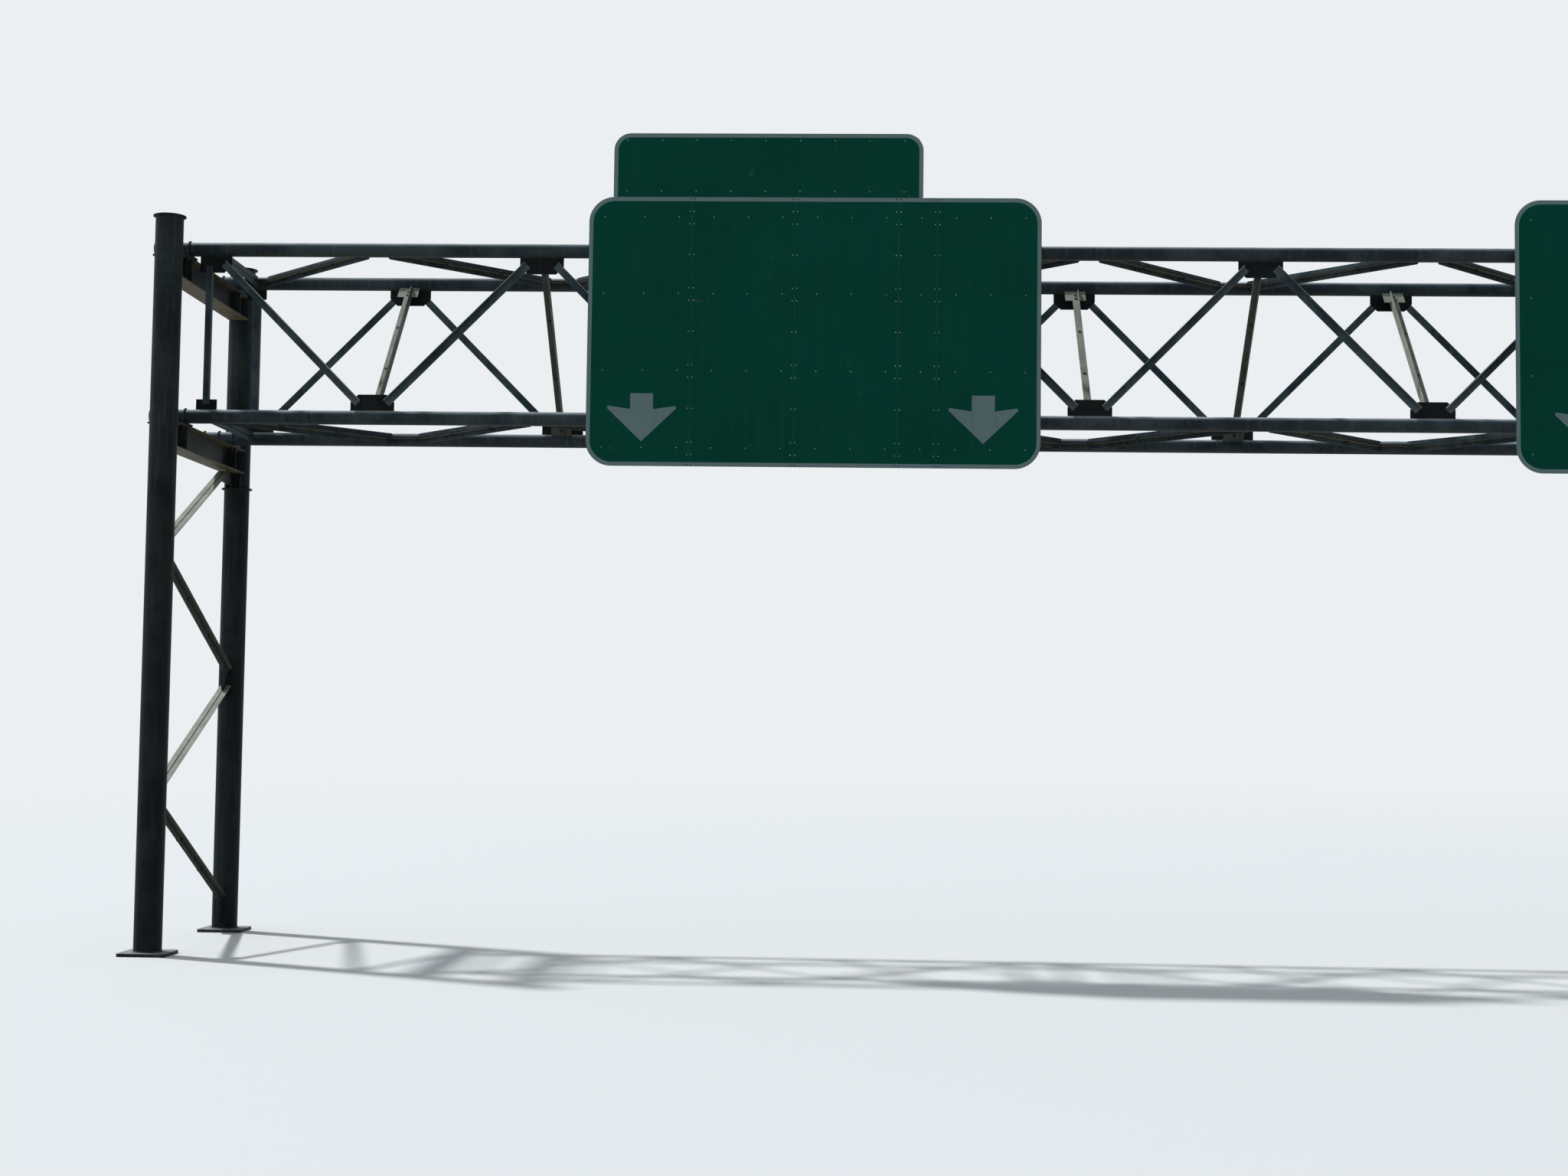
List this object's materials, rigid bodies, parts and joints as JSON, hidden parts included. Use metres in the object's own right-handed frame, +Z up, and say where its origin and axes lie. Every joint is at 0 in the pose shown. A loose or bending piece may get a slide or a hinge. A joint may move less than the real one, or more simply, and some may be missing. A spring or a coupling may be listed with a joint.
{
  "type": "overhead sign gantry",
  "caption": "Overhead sign gantry: a box truss of steel pipe and angle bars on two braced towers, with two flat panel signs on its front.",
  "frame": {"origin": "on the ground, under the middle of the truss, halfway between the front and rear posts", "axes": "+X along the truss to the viewer's right, +Y from the sign face to the rear, +Z up"},
  "size_m": [26.44, 3.625, 9.7275],
  "materials": {
    "pipe": "weathered galvanised pipe",
    "plate": "weathered galvanised plate",
    "beam": "weathered galvanised beam, dirty underneath",
    "angle": "weathered galvanised angle",
    "bolt": "galvanised bolt",
    "sheet": "green film on aluminium sheet, with a pale border",
    "rail": "mill-finish aluminium"
  },
  "bodies": {
    "root": {"left_front_post": "pipe", "left_rear_post": "pipe", "right_front_post": "pipe", "right_rear_post": "pipe", "post_caps": "plate", "left_base_plates": "plate", "right_base_plates": "plate", "left_top_beam": "beam", "left_bottom_beam": "beam", "right_top_beam": "beam", "right_bottom_beam": "beam", "seat_brackets": "plate", "saddle_plates": "plate", "chord_u_bolts": "bolt", "brace_gussets": "plate", "left_tower_braces": "angle", "right_tower_braces": "angle", "left_chords": "pipe", "middle_chords": "pipe", "right_chords": "pipe", "splice_flanges": "plate", "front_web": "angle", "rear_web": "angle", "top_lacing": "angle", "bottom_lacing": "angle", "sway_bars": "angle", "left_end_frame": "angle", "right_end_frame": "angle", "splice_frames": "angle", "web_gussets": "plate", "lacing_plates": "plate", "sway_plates": "plate", "left_sign_sheets": "sheet", "exit_panel": "sheet", "left_sign_rails": "rail", "left_sign_hangers": "rail", "right_sign_sheets": "sheet", "right_sign_rails": "rail", "right_sign_hangers": "rail", "hanger_bolts": "bolt"}
  },
  "joints": []
}
